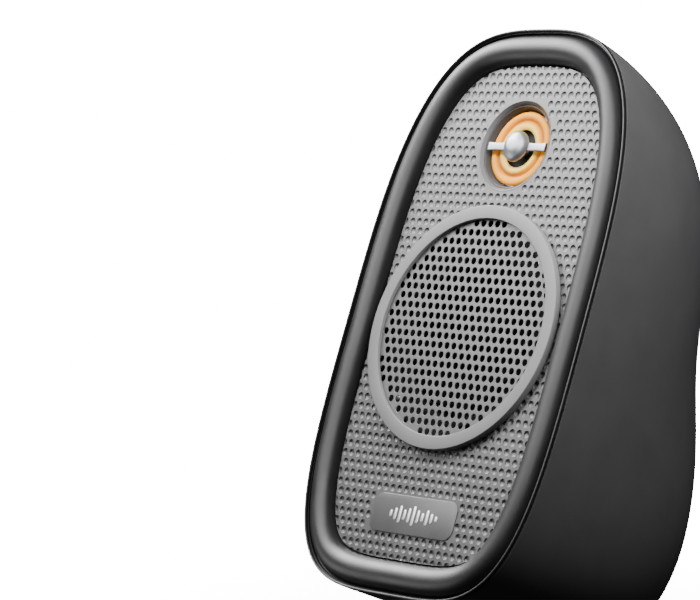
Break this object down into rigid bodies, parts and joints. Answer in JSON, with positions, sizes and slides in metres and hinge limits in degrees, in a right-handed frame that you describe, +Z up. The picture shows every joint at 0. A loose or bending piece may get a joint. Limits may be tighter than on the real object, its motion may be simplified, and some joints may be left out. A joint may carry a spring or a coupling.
{
  "type": "bookshelf speaker",
  "caption": "Small two-way bookshelf speaker with an oval perforated front, thick black tube rim and a rounded pod body that leans back.",
  "frame": {"origin": "centre of the footprint's bounding box, on the surface it stands on", "axes": "+X to the right seen from the front, -Y out of the front, +Z up"},
  "size_m": [0.1092, 0.1188, 0.194],
  "materials": {
    "case_plastic": "satin",
    "bezel_gloss": "gloss",
    "front_paint": "satin",
    "grille_steel": "satin",
    "basket_steel": "satin",
    "zinc": "satin",
    "ferrite": "matte",
    "rubber": "matte",
    "cone_paper": "matte",
    "spider_cloth": "matte",
    "damping_felt": "matte",
    "copper": "satin",
    "brass": "satin",
    "diaphragm_amber": "satin",
    "bridge_aluminium": "satin",
    "lever_red": "gloss",
    "lever_black": "gloss",
    "board_laminate": "satin",
    "wire_red": "satin",
    "wire_black": "satin"
  },
  "bodies": {
    "cabinet": {"body_shell": "case_plastic", "inner_baffle": "case_plastic", "terminal_cup": "case_plastic", "tweeter_housing": "case_plastic", "tweeter_rear_cap": "case_plastic", "front_bezel": "bezel_gloss", "face_panel": "front_paint", "woofer_trim_ring": "front_paint", "name_badge": "front_paint", "woofer_grille": "grille_steel", "woofer_basket": "basket_steel", "baffle_screw_1": "zinc", "baffle_screw_2": "zinc", "baffle_screw_3": "zinc", "baffle_screw_4": "zinc", "woofer_screw_1": "zinc", "woofer_screw_2": "zinc", "woofer_screw_3": "zinc", "woofer_screw_4": "zinc", "terminal_screw_1": "zinc", "terminal_screw_2": "zinc", "terminal_screw_3": "zinc", "terminal_screw_4": "zinc", "woofer_top_plate": "zinc", "woofer_yoke": "zinc", "tweeter_plate": "zinc", "tweeter_yoke": "zinc", "terminal_axle": "zinc", "woofer_magnet": "ferrite", "tweeter_magnet": "ferrite", "woofer_surround": "rubber", "woofer_gasket": "rubber", "rubber_foot_1": "rubber", "rubber_foot_2": "rubber", "rubber_foot_3": "rubber", "rubber_foot_4": "rubber", "woofer_spider": "spider_cloth", "damping_pad": "damping_felt", "crossover_coil": "copper", "woofer_terminal_strip": "brass", "terminal_contact_red": "brass", "terminal_contact_black": "brass", "tweeter_bridge": "bridge_aluminium", "rating_plate": "bridge_aluminium", "crossover_capacitor": "lever_black", "crossover_board": "board_laminate", "woofer_wire_red": "wire_red", "tweeter_wire_red": "wire_red", "woofer_wire_black": "wire_black", "tweeter_wire_black": "wire_black"},
    "woofer_diaphragm": {"woofer_cone": "cone_paper", "woofer_dust_cap": "cone_paper", "woofer_voice_coil": "copper"},
    "tweeter_dome_ring": {"tweeter_diaphragm": "diaphragm_amber", "tweeter_voice_coil": "copper"},
    "lever_red": {"terminal_lever_red": "lever_red"},
    "lever_black": {"terminal_lever_black": "lever_black"}
  },
  "joints": [
    {"name": "woofer_stroke", "type": "slide", "parent": "cabinet", "child": "woofer_diaphragm", "axis": [0, -0.9348, 0.3551], "range_m": [-0.0015, 0.0015], "stiffness_N_per_m": 300, "deforming": ["woofer_surround", "woofer_spider"]},
    {"name": "tweeter_stroke", "type": "slide", "parent": "cabinet", "child": "tweeter_dome_ring", "axis": [0, -0.9348, 0.3551], "range_m": [-0.00025, 0.00025], "stiffness_N_per_m": 100},
    {"name": "lever_red_press", "type": "hinge", "parent": "cabinet", "child": "lever_red", "pos_m": [0, 0.04963, 0.0913], "axis": [1, 0, 0], "range_deg": [0, 15], "stiffness_Nm_per_rad": 0.02, "springref_deg": -5.73},
    {"name": "lever_black_press", "type": "hinge", "parent": "cabinet", "child": "lever_black", "pos_m": [0, 0.04963, 0.0913], "axis": [1, 0, 0], "range_deg": [0, 15], "stiffness_Nm_per_rad": 0.02, "springref_deg": -5.73}
  ]
}
